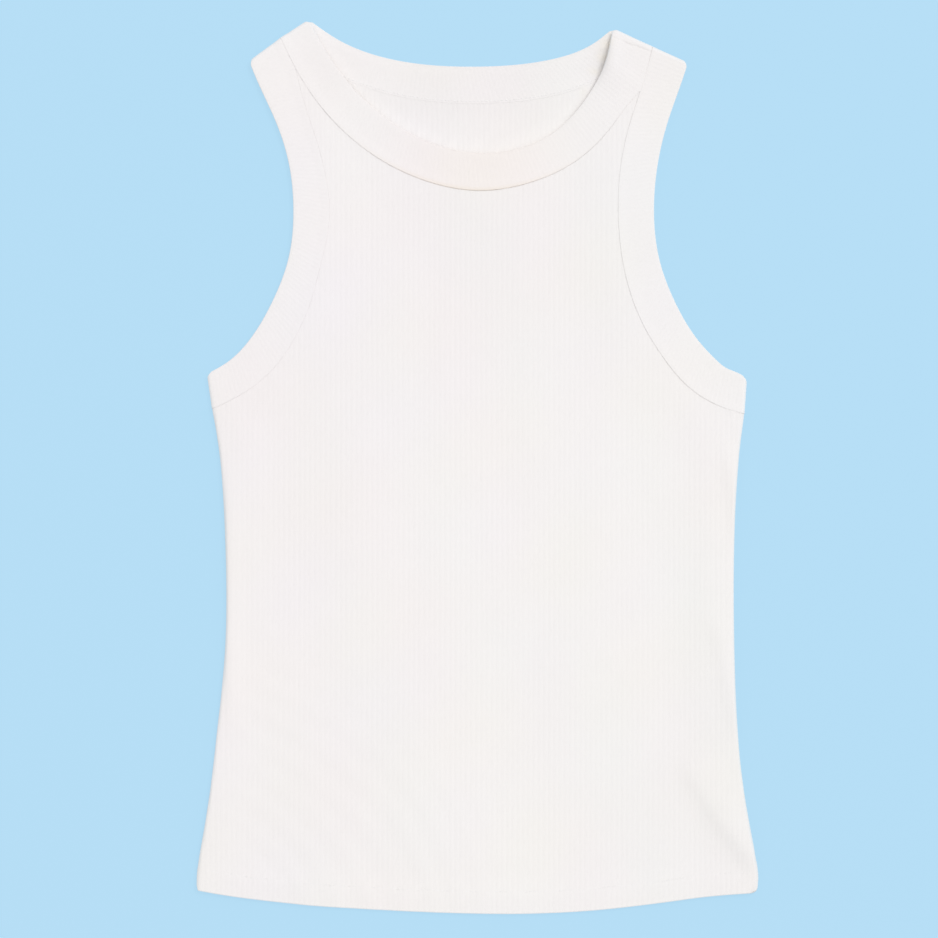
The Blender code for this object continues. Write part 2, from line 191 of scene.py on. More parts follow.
# Hem, from left to right. Columns: x, y.
HEM = (
    (-189, -284.3), (-170, -287.8), (-141.8, -291.6), (-110, -294.9), (-70, -297.5), (-35, -299.2),
    (0, -300.2), (32, -300.3), (62, -299.3), (90, -297), (130.3, -292), (160, -288.3),
    (184, -286.3),
)
BACK_HEM_RAISED = 1.5
HEM_RUN_OUT = 2.0  # how far past the left side the hem's edge is taken to run

# Armhole bands, from the shoulder to the underarm: free edge and seam. Columns: x, y.
ARM_EDGE_LEFT = (
    (-153.9, 273.4), (-148.2, 259.5), (-136.4, 233.7), (-127.6, 206.7), (-124, 173), (-127.6, 139.4),
    (-137.7, 112.5), (-153.7, 85.5), (-167.4, 71.5), (-182.2, 62.8),
)
ARM_SEAM_LEFT = (
    (-122.3, 268), (-120.5, 260), (-118, 250), (-107.7, 217.7), (-101.1, 190),
    (-99.5, 170), (-104.8, 139.4), (-113.5, 107.8), (-123.7, 85.7), (-139.8, 63.8), (-153.7, 52.3),
    (-178.8, 39.1),
)
ARM_EDGE_RIGHT = (
    (141.6, 272.4), (137.4, 259.5), (128.4, 233.7), (121.7, 206.7), (118.7, 170), (122.4, 139.4),
    (132.2, 112.5), (148.3, 85.5), (160.8, 72), (167.2, 66.9), (174, 64), (181.2, 60),
)
ARM_SEAM_RIGHT = (
    (117.6, 283.2), (111.4, 259.9), (101.3, 227.6), (95.3, 195.3), (94.6, 166), (100.7, 123.9),
    (113.5, 91.6), (123.8, 75.1), (139.9, 55.7), (159, 42.8), (179.6, 35.7),
)

# Neckband, from left to right: free edge and seam, in front and behind. Columns: x, y.
NECK_EDGE = (
    (-113.6, 301.5), (-103.3, 281.8), (-79, 250), (-46.5, 225), (1.7, 211.4), (33.5, 216.2),
    (50.2, 224.8), (74.8, 251.1), (83.9, 267.6), (90.8, 295.6),
)
NECK_SEAM = (
    (-132.6, 289.1), (-125.6, 274.4), (-118.6, 261.5), (-94.6, 230.3), (-62.4, 205.2), (-30.1, 191.2),
    (1.7, 186.2), (33.4, 191), (65.8, 205.9), (89.9, 229), (99, 241.5), (108.4, 252.6),
)
BACK_NECK_EDGE = (
    (-113.6, 301.5), (-93.3, 287.8), (-56.2, 274.6), (-2, 270), (46.8, 274.3), (78, 285.6),
    (90.8, 295.6),
)
BACK_NECK_SEAM = (
    (-132.6, 289.1), (-105, 268.8), (-79.3, 257.2), (-52.7, 249.6), (3, 245), (58.5, 252),
    (90, 265), (117.3, 283.2),
)
TIP_WIDTH = 0.15  # a strap ends where it is this narrow

# Creases of the front, each a soft ridge. Columns: x0, y0, x1, y1, half width, height.
CREASES = (
    (141, -199, 162, -234, 8, 2),
    (159, -230, 190, -268, 8, 2.6),
    (168, 14, 179, -56, 6, 1.6),
    (161, -98, 177, -184, 7, 1.4),
    (-166.4, -5, -165.9, -172, 4, 1.5),
    (-10, 165, -26, 40, 11, 0.55),
    (28, 160, 42, -10, 12, 0.45),
    (-62, 130, -76, -20, 14, 0.50),
)
CREASE_RISES = (-0.12, 0.25)
CREASE_SLACK = 2.0  # how much gentler the side to a crease's left is
# Faint rings of drape about the lower left corner: centre, pitch, height, where they fade in and out
DRAPE_CENTRE = (-205, -330)
DRAPE_PITCH = 19.0
DRAPE_HEIGHT = 0.13
DRAPE_WANDER = 23
DRAPE_FADES = (60, 110, 170, 260)

# Slow waves of the front. Columns: wavelength across, wavelength along, height.
WAVES = (
    (118, 610, 0.30), (83, -470, 0.20), (61, 380, 0.12), (47, -290, 0.08),
    (150, 170, 0.16), (-96, 128, 0.10),
)
WAVE_FLOOR = 0.25  # waves lower than this lie flat on the back
WAVE_SOFT = 0.2
WAVE_CLEAR = 26.0  # from a seam or side to the full waves

# Colours
CLOTH = (0.905, 0.880, 0.857)
TRIM = (0.909, 0.884, 0.862)
# Slow changes of tone, some of them painted shade. Columns: x, y, reach, change of red, green and blue.
TONES = (
    (-150, -60, 190, 0.008, 0, 0.003),
    (-95, 140, 95, 0, 0, 0.016),
    (130, -110, 170, 0, 0.008, 0),
    (0, -240, 70, 0.012, 0.014, 0.005),
    (120, 170, 80, -0.012, 0, 0),
    (0, -60, 130, 0.006, 0.006, 0.006),
    (-10, 155, 90, -0.008, -0.017, -0.020),
    (-99, 274, 28, -0.011, -0.021, -0.023),
    (122, 266, 36, -0.014, -0.016, -0.020),
    (-165, 55, 62, -0.011, -0.015, -0.013),
    (-168, -50, 66, -0.011, -0.013, -0.012),
    (165, -215, 40, -0.010, -0.006, -0.008),
    # painted shade on the back's inside, seen through the neck
    (-30, 262, 30, -0.026, -0.029, -0.031),
    (28, 262, 30, -0.026, -0.029, -0.031),
    # painted shade beside the gape, near the right shoulder's fold
    (99, 277, 10, -0.022, -0.022, -0.022),
    # painted shade in the gape: a warm tint on its shaded cloth
    (87.5, 286, 3.6, 0.02, 0.005, -0.04),
    (84, 277, 3.6, 0.02, 0.005, -0.04),
    (79, 266, 3.2, 0.01, 0, -0.04),
    (71.5, 253, 3, 0, -0.004, -0.03),
)
# Slow waves of tone. Columns: millimetres to a radian across and along, phase, change of red, green and blue.
TONE_WAVES = (
    (21, 34, 0.4, 0.003, 0, -0.002),
    (17, -26, 2.1, 0, 0.002, -0.002),
    (-39, 15, 4, -0.001, 0, 0.004),
    (12, 47, 1, 0.002, -0.001, 0.002),
)
SEAM_PAINTED_SHADE = (0.015, 0.05, 0.115)  # painted shade in the neckband's seam groove: how much less red, green and blue its sewn edge has
SEAM_PAINTED_SHADE_REACH = (0.8, 58)  # from the seam, and along it
NECK_WARMTH = (0.008, -0.018, -0.036)  # change of red, green and blue at the middle of the neckband's front
NECK_WARMTH_REACH = 60.0
NECK_PAINTED_LIGHT = 0.035  # painted light: how much lighter the back's inside is along the neckband's free edge
NECK_PAINTED_LIGHT_REACH = (2.5, 4.5)  # where it is lightest, and how far it reaches
GAPE_PAINTED_SHADE = (0, 0.015, 0.055)  # painted shade: how much less red, green and blue the back has inside the gape
GAPE_EDGE_PAINTED_SHADE = 0.10  # painted shade: how much darker the neckband's free edge is above the gape
GAPE_EDGE_REACH = 2.6
GAPE_PAINTED_SHADE_PLACE = (86.5, 283, 14)  # x, y, reach of the painted shade
GAPE_PAINTED_SHADE_REACH = 5.4  # from the neckband's free edge
SIDE_PAINTED_SHADE = 0.022  # painted shade: how much darker the cloth is where it turns round the sides
SIDE_PAINTED_SHADE_REACH = 2.6
THREAD = (0.91, 0.90, 0.885)
FLOOR = (0.447, 0.695, 0.870)

# The neckband's join near the right shoulder, from its free edge to its seam
NECK_JOIN = ((90.6, 288.1), (115.6, 279.6))
JOIN_DEPTH = 0.3
JOIN_WIDTH = 0.55
JOIN_GAPS = ((101.6, 283.6, 2.2, 0.9), (109.2, 281.6, 2, 0.9), (92, 288.2, 1, 0.6))  # x, y, reach, depth
SHOULDER_DENTS = ((-136.6, 284.6, 1.7, 0.35), (-126.7, 292, 1.7, 0.45))  # x, y, reach, depth

# Thread
THREAD_SIDES = 6
THREAD_PROFILE = ((0, 0.3), (0.12, 0.85), (0.5, 1), (0.88, 0.85), (1, 0.3))  # share of length, of radius
HEM_STITCH_PITCH = 3.3
HEM_STITCH_SHARE = 0.74
HEM_STITCH_RADIUS = 0.2
HEM_STITCH_SINK = 0.14
HEM_STITCH_INSET = 6.0
HEM_STITCH_JITTER = 0.22
NECK_STITCH_PITCH = 2.7
NECK_STITCH_SHARE = 0.8
NECK_STITCH_RADIUS = 0.22
NECK_STITCH_RISE = 1.6  # above the seam
NECK_STITCH_DROP = 0.9
NECK_STITCH_LEAN = 0.8
NECK_STITCH_JITTER = 0.3
NECK_STITCH_INSET = 20.0
OVERLOCK_INSET = 0.2  # from the line of stitches to the tops of the short ones
OVERLOCK_SINK = 0.1

# Cloth, floor, light and camera
KNIT_DEPTH = 0.10
FUZZ = (1400, 3, 0.65)  # scale, detail and roughness of a noise
FUZZ_HEIGHT = 0.9  # beside the stitches' height
RELIEF_STRENGTH = 0.55
PATCHES = (38, 3, 0.6)
MOTTLE = 0.02
SPECKLES = (620, 2, 0.5)
SPECKLE = 0.02
ROUGHNESS = (0.12, 0.82)  # what the fuzz changes, and the least
CLOTH_FINISH = {"Specular IOR Level": 0.25, "Sheen Weight": 0.12, "Sheen Roughness": 0.5, "Metallic": 0.0}
STRANDS = {"Scale": 900, "Distortion": 2.0}
THREAD_RELIEF = (0.4, 0.05)  # strength and depth
THREAD_PATCHES = 300.0
THREAD_MOTTLE = 0.03
THREAD_ROUGHNESS = 0.7
FLOOR_SIZE = 24.0
FLOOR_CELLS = 8
FLOOR_PATCHES = 2.0
FLOOR_MOTTLE = 0.003
FLOOR_GLOW = 1.06
FLOOR_GLOW_SHARE = 0.85
SKY = (0.983, 0.981, 1)
SKY_STRENGTH = 0.824
KEY_LIGHT = (42, 56, 7)  # azimuth, elevation, distance
KEY_SIZE = 3.0
KEY_POWER = 145.0
KEY_COLOUR = (0.985, 0.982, 1)
LENS = 85.0
SENSOR = 36.0
CLIP_END = 50.0
FRAME_TO_LENGTH = 1.0537  # the picture's width beside the garment's length
OFF_CENTRE = (-0.0094, -0.0010)  # of the garment's length
FRONT_TOP = 3.0


# Curves and distances


def smooth_curve(rows, count=600):
    """Closely spaced points of the natural cubic spline through the rows."""
    knots = np.array(rows, float)
    along = np.concatenate([[0], np.cumsum(np.linalg.norm(np.diff(knots, axis=0), axis=1))])
    step = np.diff(along)
    system, right = np.eye(len(knots)), np.zeros_like(knots)
    for i in range(1, len(knots) - 1):
        system[i, i - 1 : i + 2] = step[i - 1], 2 * (step[i - 1] + step[i]), step[i]
        right[i] = 6 * ((knots[i + 1] - knots[i]) / step[i] - (knots[i] - knots[i - 1]) / step[i - 1])
    bend = np.linalg.solve(system, right)
    place = np.linspace(0, along[-1], count)
    i = np.clip(np.searchsorted(along, place, side="right") - 1, 0, len(step) - 1)
    b = ((place - along[i]) / step[i])[:, None]
    a = 1 - b
    cubic = (a**3 - a) * bend[i] + (b**3 - b) * bend[i + 1]
    return a * knots[i] + b * knots[i + 1] + cubic * step[i][:, None] ** 2 / 6


def distances_along(curve):
    return np.concatenate([[0], np.cumsum(np.linalg.norm(np.diff(curve, axis=0), axis=1))])


def length_of(curve):
    return float(distances_along(curve)[-1])


def point_at(curve, distance):
    """The points of a curve at these distances from its start."""
    along = distances_along(curve)
    return np.stack([np.interp(distance, along, curve[:, k]) for k in range(curve.shape[1])], axis=-1)


def evenly(curve, spacing, start=0.0, end=0.0):
    """Evenly spaced points of a curve, from start to this far before its end, without those at its ends."""
    last = length_of(curve) - end
    count = max(2, round((last - start) / spacing))
    return point_at(curve, np.linspace(start, last, count + 1)[1:-1])


def directions(curve):
    ahead = np.gradient(curve, axis=0)
    return ahead / np.linalg.norm(ahead, axis=1)[:, None]


def shifted(curve, by):
    """The curve moved to its left by this distance, or to its right where it is negative."""
    ahead = directions(curve)
    return curve + by * np.stack([-ahead[:, 1], ahead[:, 0]], axis=1)


def extended(curve, by):
    """The curve with a straight piece of this length added at both its ends."""
    ahead = directions(curve)
    return np.concatenate([[curve[0] - by * ahead[0]], curve, [curve[-1] + by * ahead[-1]]])


def nearest(points, curve):
    """Each point's distance from a curve, the curve's nearest point, and how far along the curve that is."""
    tree = KDTree(len(curve))
    for i, (x, y) in enumerate(curve.tolist()):
        tree.insert((x, y, 0), i)
    tree.balance()
    closest = np.array([tree.find((x, y, 0))[1] for x, y in points.tolist()])
    along = distances_along(curve)
    best = None
    for first in (np.maximum(closest - 1, 0), np.minimum(closest, len(curve) - 2)):
        start, run = curve[first], curve[first + 1] - curve[first]
        share = np.clip(((points - start) * run).sum(1) / (run * run).sum(1), 0, 1)
        foot = start + share[:, None] * run
        gap = np.linalg.norm(points - foot, axis=1)
        found = np.column_stack([gap, foot, along[first] + share * (along[first + 1] - along[first])])
        best = found if best is None else np.where((gap < best[:, 0])[:, None], found, best)
    return best[:, 0], best[:, 1:3], best[:, 3]


def distance_to(points, curve):
    return nearest(points, curve)[0]


def smooth_step(start, end, x):
    share = np.clip((x - start) / (end - start), 0, 1)
    return share * share * (3 - 2 * share)


def bump(x, reach):
    return np.exp(-((x / reach) ** 2))


def spot(points, x, y, reach):
    """1 at a place and less round it."""
    return bump(np.linalg.norm(points[:, :2] - (x, y), axis=1), reach)


def rounded(depth, radius):
    """Share of the half thickness at this depth inside a rounded edge."""
    return np.sqrt(1 - np.clip(1 - depth / radius, 0, 1) ** 2)


def edge_shape(rows, share):
    """Radius and step of a band's sewn edge at shares of its length."""
    at, radius, step = zip(*rows)
    return np.interp(share, at, radius), np.interp(share, at, step)


def rib(place, pitch):
    """Height of the ribs from 0 in a groove to 1 on a rib."""
    return (0.5 + 0.5 * np.cos(2 * math.pi * place / pitch)) ** RIB_ROUND


# Meshes


def tones(points):
    """Each point's share of the cloth's colour, with painted shade where the cloth turns round the sides and
    in some rows of tone.
    """
    total = np.ones((len(points), 3))
    for x, y, reach, *change in TONES:
        total += spot(points, x, y, reach)[:, None] * change
    for across, along, phase, *change in TONE_WAVES:
        total += np.sin(points[:, 0] / across + points[:, 1] / along + phase)[:, None] * change
    # painted shade where the cloth turns round the sides
    for side in (SIDE_LEFT, SIDE_RIGHT):
        total -= SIDE_PAINTED_SHADE * bump(distance_to(points[:, :2], smooth_curve(side)), SIDE_PAINTED_SHADE_REACH)[:, None]
    return total


def neck_painted_light_and_shade(points):
    """Painted light on the back's inside beside the neckband's free edge, and painted shade inside its gape.
    """
    lightest, reach = NECK_PAINTED_LIGHT_REACH
    away = distance_to(points, smooth_curve(NECK_EDGE))
    in_gape = spot(points, *GAPE_PAINTED_SHADE_PLACE)
    lighter = NECK_PAINTED_LIGHT * bump(away - lightest, reach) * (1 - in_gape)
    return lighter[:, None] - (bump(away, GAPE_PAINTED_SHADE_REACH) * in_gape)[:, None] * GAPE_PAINTED_SHADE


def cloth_object(name, points, faces, cloth_place, material, around=None, shade=1.0):
    """A smooth mesh from points in millimetres. cloth_place is each point's place on the flat cloth, and
    around is the length of a ring, whose last faces meet its first points."""
    mesh = bpy.data.meshes.new(name)
    mesh.from_pydata((np.asarray(points) * MM).tolist(), [], faces)
    corners = np.empty(len(mesh.loops), np.int32)
    mesh.loops.foreach_get("vertex_index", corners)
    layer = mesh.uv_layers.new(name="cloth")
    place = np.asarray(cloth_place)[corners] * MM
    if around:
        along = place.reshape(-1, 4, 2)[..., 0]
        along += around * MM * (along.max(1, keepdims=True) - along > around * MM / 2)
    layer.uv.foreach_set("vector", place.ravel().astype(np.float32))
    # the tone attribute carries painted light and painted shade as well as the cloth's changes of tone
    tone = mesh.attributes.new(name="tone", type="FLOAT_COLOR", domain="POINT")
    colours = np.column_stack([tones(np.asarray(points)) * shade, np.ones(len(points))])
    tone.data.foreach_set("color", colours.ravel().astype(np.float32))
    mesh.shade_smooth()
    mesh.materials.append(material)
    piece = bpy.data.objects.new(name, mesh)
    bpy.context.scene.collection.objects.link(piece)
    return piece


# Seams, as the part has them


def left_arm_seam():
    """The left armhole band's seam, which runs beside the neckband's from the shoulder and then leaves it."""
    own = smooth_curve(ARM_SEAM_LEFT)
    neck = smooth_curve(NECK_SEAM)
    closed = 1 - smooth_step(*LEFT_JOIN_REACH, distances_along(neck))[:, None]
    beside = shifted(neck, -SEAM_GAP) * (1 - closed) + shifted(neck, LEFT_JOIN_LAP) * closed
    return np.concatenate([beside[: np.linalg.norm(beside - own[0], axis=1).argmin()], own])


def front_neck_seam():
    """The neckband's seam, which meets the right armhole band's and runs beside it to the shoulder."""
    to_band = smooth_curve(NECK_SEAM)
    beside = shifted(smooth_curve(ARM_SEAM_RIGHT), -RIGHT_JOIN_GAP)[::-1]
    meeting = np.linalg.norm(beside - to_band[-1], axis=1).argmin()
    return np.concatenate([to_band, beside[meeting + 1 :]])


def apart(curve, other):
    """The part of a curve that is at least a strap's tip away from another."""
    clear = distance_to(curve, other) >= TIP_WIDTH
    return curve[clear.argmax() : len(clear) - clear[::-1].argmax()]


def panel_seams(neck_seam):
    """A panel's edges beside the armhole bands and the neckband, with its straps' tips cut off."""
    left = shifted(left_arm_seam(), SEAM_GAP)
    right = shifted(smooth_curve(ARM_SEAM_RIGHT), -SEAM_GAP)
    neck = shifted(neck_seam, -SEAM_GAP)
    return apart(left, neck), apart(right, neck), apart(apart(neck, left), right)


# Panels: the flat pattern

SIDE_START = math.asin(SIDE_SEAM_RISE / SIDE_BEND)  # angle round a side's bend at its seam
SIDE_TURN = SIDE_BEND * (math.pi / 2 - SIDE_START)  # cloth from there to the top of the bend
SIDE_INSET = KNIT / 2 + SIDE_BEND  # from the outline in to the top of the bend
# Each side, which way is outwards seen going up, and the length of its rounded corner at the hem
SIDE_LINES = ((SIDE_LEFT, 1, 0.0), (SIDE_RIGHT, -1, 9.0))
SEAM_ROWS = (0.06, 0.22, 0.5, 0.95)  # rows of points beside a seam
HEM_ROWS = (0.08, 0.3, 0.75, 1.3)
SIDE_ROWS = (0.05, 0.2, 0.5, 0.9, 1.3, 1.7, 2.1, 2.5, 3.0)
ROW_CLEARANCE = 0.4
ROW_TOLERANCE = 0.03
CORNER_SHARE = 0.88  # how near the hem a corner's first point may be
SIDE_EXTENSION = 14.0
SIDE_AHEAD = 0.5  # how far ahead and back a side's direction is measured
CDT_TOLERANCE = 1e-6


def columns_between(x0, x1, spacing):
    return np.arange(math.ceil(x0 / spacing), math.floor(x1 / spacing) + 1) * spacing


def side_curve(rows, corner):
    """A side above its rounded corner."""
    curve = smooth_curve(rows)
    return curve[distances_along(curve) >= corner]


def cut_panel(is_front):
    """A panel's flat pattern: its outline, hem, hem corner, seams and side edges."""
    hem_raised = 0.0 if is_front else BACK_HEM_RAISED
    arm_left, arm_right, neck = panel_seams(front_neck_seam() if is_front else smooth_curve(BACK_NECK_SEAM))
    hem = smooth_curve(HEM) + (0, hem_raised)
    x = columns_between(hem[0, 0] + SEAM_SPACING, hem[-1, 0] - SEAM_SPACING, SEAM_SPACING)
    hem_points = np.column_stack([x, np.interp(x, hem[:, 0], hem[:, 1])])
    rows, _, corner_length = SIDE_LINES[1]
    corner = smooth_curve(rows)
    corner = corner[distances_along(corner) < corner_length]
    corner = corner + np.column_stack([np.zeros(len(corner)), hem_raised * np.linspace(1, 0, len(corner))])
    sides = []
    ends = ((hem[0], arm_left[-1]), (corner[-1], arm_right[-1]))
    for (rows, outwards, corner_length), (hem_end, arm_end) in zip(SIDE_LINES, ends):
        curve = shifted(side_curve(rows, corner_length), outwards * (SIDE_TURN - SIDE_INSET))
        start = SIDE_SPACING / 3 + (0 if corner_length else hem_raised)
        between = evenly(curve, SIDE_SPACING, start, SIDE_SPACING / 3)
        sides.append(np.concatenate([[hem_end], between, [arm_end]]))
    outline = np.concatenate([
        hem[:1], hem_points, corner[:1], evenly(corner, SEAM_SPACING), sides[1],
        evenly(arm_right, SEAM_SPACING)[::-1], arm_right[:1],
        neck[-1:], evenly(neck, SEAM_SPACING)[::-1], neck[:1],
        arm_left[:1], evenly(arm_left, SEAM_SPACING), sides[0][:0:-1],
    ])
    return SimpleNamespace(
        is_front=is_front, outline=outline, hem=hem, hem_points=hem_points, corner=corner, sides=sides,
        hem_edge=np.concatenate([[hem[0] - (HEM_RUN_OUT, 0)], hem, corner[1:]]),
        seams=((arm_left, 1), (arm_right, -1), (neck, -1)),
    )


def to_edges(cut, points):
    """Distances of points from the seams, the hem and the side edges, and their places along the seams."""
    seams = [nearest(points, seam) for seam, _ in cut.seams]
    to_seams = np.array([found[0] for found in seams])
    along = np.array([found[2] for found in seams])
    to_side = np.minimum(*(distance_to(points, side) for side in cut.sides))
    return to_seams, distance_to(points, cut.hem_edge), to_side, along


def edge_rows(cut):
    """Rows of points beside every edge of a pattern, without those that come close to another edge."""
    rows = [(cut.hem_points + (0, depth), depth, 0.0, 0.0) for depth in HEM_ROWS]
    rows += [(evenly(shifted(cut.corner, depth), SEAM_SPACING), depth, 0.0, 0.0) for depth in HEM_ROWS]
    rows += [(shifted(cut.corner, depth)[:1], CORNER_SHARE * depth, 0.0, 0.0) for depth in HEM_ROWS]
    for seam, inwards in cut.seams:
        for depth in SEAM_ROWS:
            rows.append((evenly(shifted(seam, inwards * depth), SEAM_SPACING), 0.0, depth, 0.0))
    for side, (_, outwards, _) in zip(cut.sides, SIDE_LINES):
        for depth in SIDE_ROWS:
            line = evenly(shifted(side, -outwards * depth), SIDE_SPACING)
            rows.append((line, HEM_ROWS[-1] + ROW_CLEARANCE, SEAM_ROWS[-1] + ROW_CLEARANCE, depth))
    points = np.concatenate([row[0] for row in rows])
    least = np.concatenate([np.tile(row[1:], (len(row[0]), 1)) for row in rows])
    to_seams, to_hem, to_side, _ = to_edges(cut, points)
    distances = np.column_stack([to_hem, to_seams.min(0), to_side])
    return points[((distances > least - ROW_TOLERANCE) & (distances > ROW_TOLERANCE)).all(1)]


def lattice(cut, across, along):
    """Points inside a pattern, in columns that follow the ribs."""
    a, b = cut.outline, np.roll(cut.outline, -1, axis=0)
    columns = []
    for x in columns_between(a[:, 0].min(), a[:, 0].max(), across):
        crossed = (a[:, 0] > x) != (b[:, 0] > x)
        start, run = a[crossed], b[crossed] - a[crossed]
        ends = np.sort(start[:, 1] + (x - start[:, 0]) / run[:, 0] * run[:, 1])
        offset = LATTICE_SHEAR * along * round(x / across)
        for low, high in zip(ends[::2] - offset, ends[1::2] - offset):
            rows = columns_between(low, high, along) + offset
            columns.append(np.column_stack([np.full(len(rows), x), rows]))
    points = np.concatenate(columns)
    to_seams, to_hem, to_side, _ = to_edges(cut, points)
    clear = (to_seams.min(0) > SEAM_ROWS[-1] + ROW_CLEARANCE) & (to_side > SIDE_ROWS[-1] + ROW_CLEARANCE)
    return points[clear & (to_hem > HEM_ROWS[-1] + ROW_CLEARANCE)]


def triangles(cut, beside, across, along):
    """A pattern's points, its outline's first, and its triangles, drawn out along the ribs."""
    squeeze = np.array((1, across / along))
    points = np.concatenate([cut.outline, beside, lattice(cut, across, along)])
    count = len(cut.outline)
    edges = [(i, (i + 1) % count) for i in range(count)]
    inside_edges = 1
    pattern = [Vector(p) for p in points * squeeze]
    flat, _, faces = delaunay_2d_cdt(pattern, edges, [], inside_edges, CDT_TOLERANCE)[:3]
    return np.array(flat) / squeeze, np.array(faces)


# Panels: how the cloth lies


def rolled(points):
    """Lays a pattern round the sides: places, angles round the bend, outward directions, distances inside."""
    place = points.copy()
    angle = np.full(len(points), math.pi / 2)
    outward = np.zeros_like(points)
    inside = np.full(len(points), np.inf)
    for rows, outwards, corner in SIDE_LINES:
        top = extended(shifted(side_curve(rows, corner), -outwards * SIDE_INSET), SIDE_EXTENSION)
        _, foot, along = nearest(points, top)
        ahead = point_at(top, along + SIDE_AHEAD) - point_at(top, along - SIDE_AHEAD)
        ahead /= np.linalg.norm(ahead, axis=1)[:, None]
        out = outwards * np.stack([-ahead[:, 1], ahead[:, 0]], axis=1)
        beyond = ((points - foot) * out).sum(1)
        over = beyond > 0
        place[over] = (foot + out * (SIDE_BEND * np.sin(beyond / SIDE_BEND))[:, None])[over]
        angle[over] = math.pi / 2 - beyond[over] / SIDE_BEND
        outward[over] = out[over]
        inside = np.minimum(inside, np.maximum(-beyond, 0))
    return place, angle, outward, inside


def crease_height(points):
    """How far the creases lift the front."""
    total = np.zeros(len(points))
    for x0, y0, x1, y1, width, height in CREASES:
        start, run = np.array((x0, y0)), np.array((x1 - x0, y1 - y0))
        length = np.linalg.norm(run)
        along = (points - start) @ run / length**2
        off = (points - start) @ np.array((-run[1], run[0])) / length
        fade = smooth_step(*CREASE_RISES, along) * smooth_step(*CREASE_RISES, 1 - along)
        total += height * fade * bump(off / np.where(off > 0, CREASE_SLACK, 1), width)
    return total


def wave_height(points):
    """Slow waves that lift the front here and there."""
    total = np.zeros(len(points))
    for across, along, height in WAVES:
        phase = 2 * math.pi * (points[:, 0] / across + points[:, 1] / along)
        total += height * np.sin(phase + across)
    total += WAVE_FLOOR
    return (total + np.hypot(total, WAVE_SOFT)) / 2


def drape_height(points):
    """Faint rings about the lower left corner, where the cloth was pulled."""
    away = np.linalg.norm(points - DRAPE_CENTRE, axis=1)
    near, full, fading, gone = DRAPE_FADES
    fade = smooth_step(near, full, away) * (1 - smooth_step(fading, gone, away))
    phase = 2 * math.pi * away / DRAPE_PITCH + np.sin(points[:, 0] / DRAPE_WANDER)
    return DRAPE_HEIGHT * fade * (1 + np.sin(phase))


def pucker_height(to_seams, along):
    """Small gathers that run into the seams."""
    total = np.zeros(to_seams.shape[1])
    for distance, place in zip(to_seams, along):
        phase = 2 * math.pi * place / PUCKER_LENGTH
        wave = np.sin(phase + sum(much * np.sin(place / length) for much, length in PUCKER_WANDER))
        total += PUCKER * bump(distance, PUCKER_REACH) * (0.5 + 0.5 * wave)
    return total


def seam_edge(cut, to_seams, along):
    """Share of the half thickness beside a panel's seams, whose edges are a little rounded."""
    if not cut.is_front:
        return np.where(to_seams.min(0) > 0, 1.0, BACK_EDGE_SHARE)
    shares = []
    for (seam, _), shape, distance, place in zip(cut.seams, FRONT_EDGE_SHAPES, to_seams, along):
        radius, _ = edge_shape(shape, place / length_of(seam))
        shares.append(PANEL_EDGE_SHARE + (1 - PANEL_EDGE_SHARE) * rounded(distance, CUT_SHARE * radius))
    return np.min(shares, axis=0)


def rib_relief(points, phase=0.0):
    """How far below its highest the ribbed face of a panel is."""
    number = np.round(points[:, 0] / BODY_RIB).astype(int)
    bulk = RIB_BULK[number % len(RIB_BULK)]
    drift, along, by_bulk = RIB_DRIFT
    wander, wander_along, wander_across = RIB_WANDER
    stray = wander * np.sin(points[:, 1] / wander_along + points[:, 0] / wander_across)
    bulk = bulk + drift * np.sin(points[:, 1] / along + by_bulk * bulk)
    return BODY_RELIEF * bulk * (1 - rib(points[:, 0] + stray + phase, BODY_RIB))


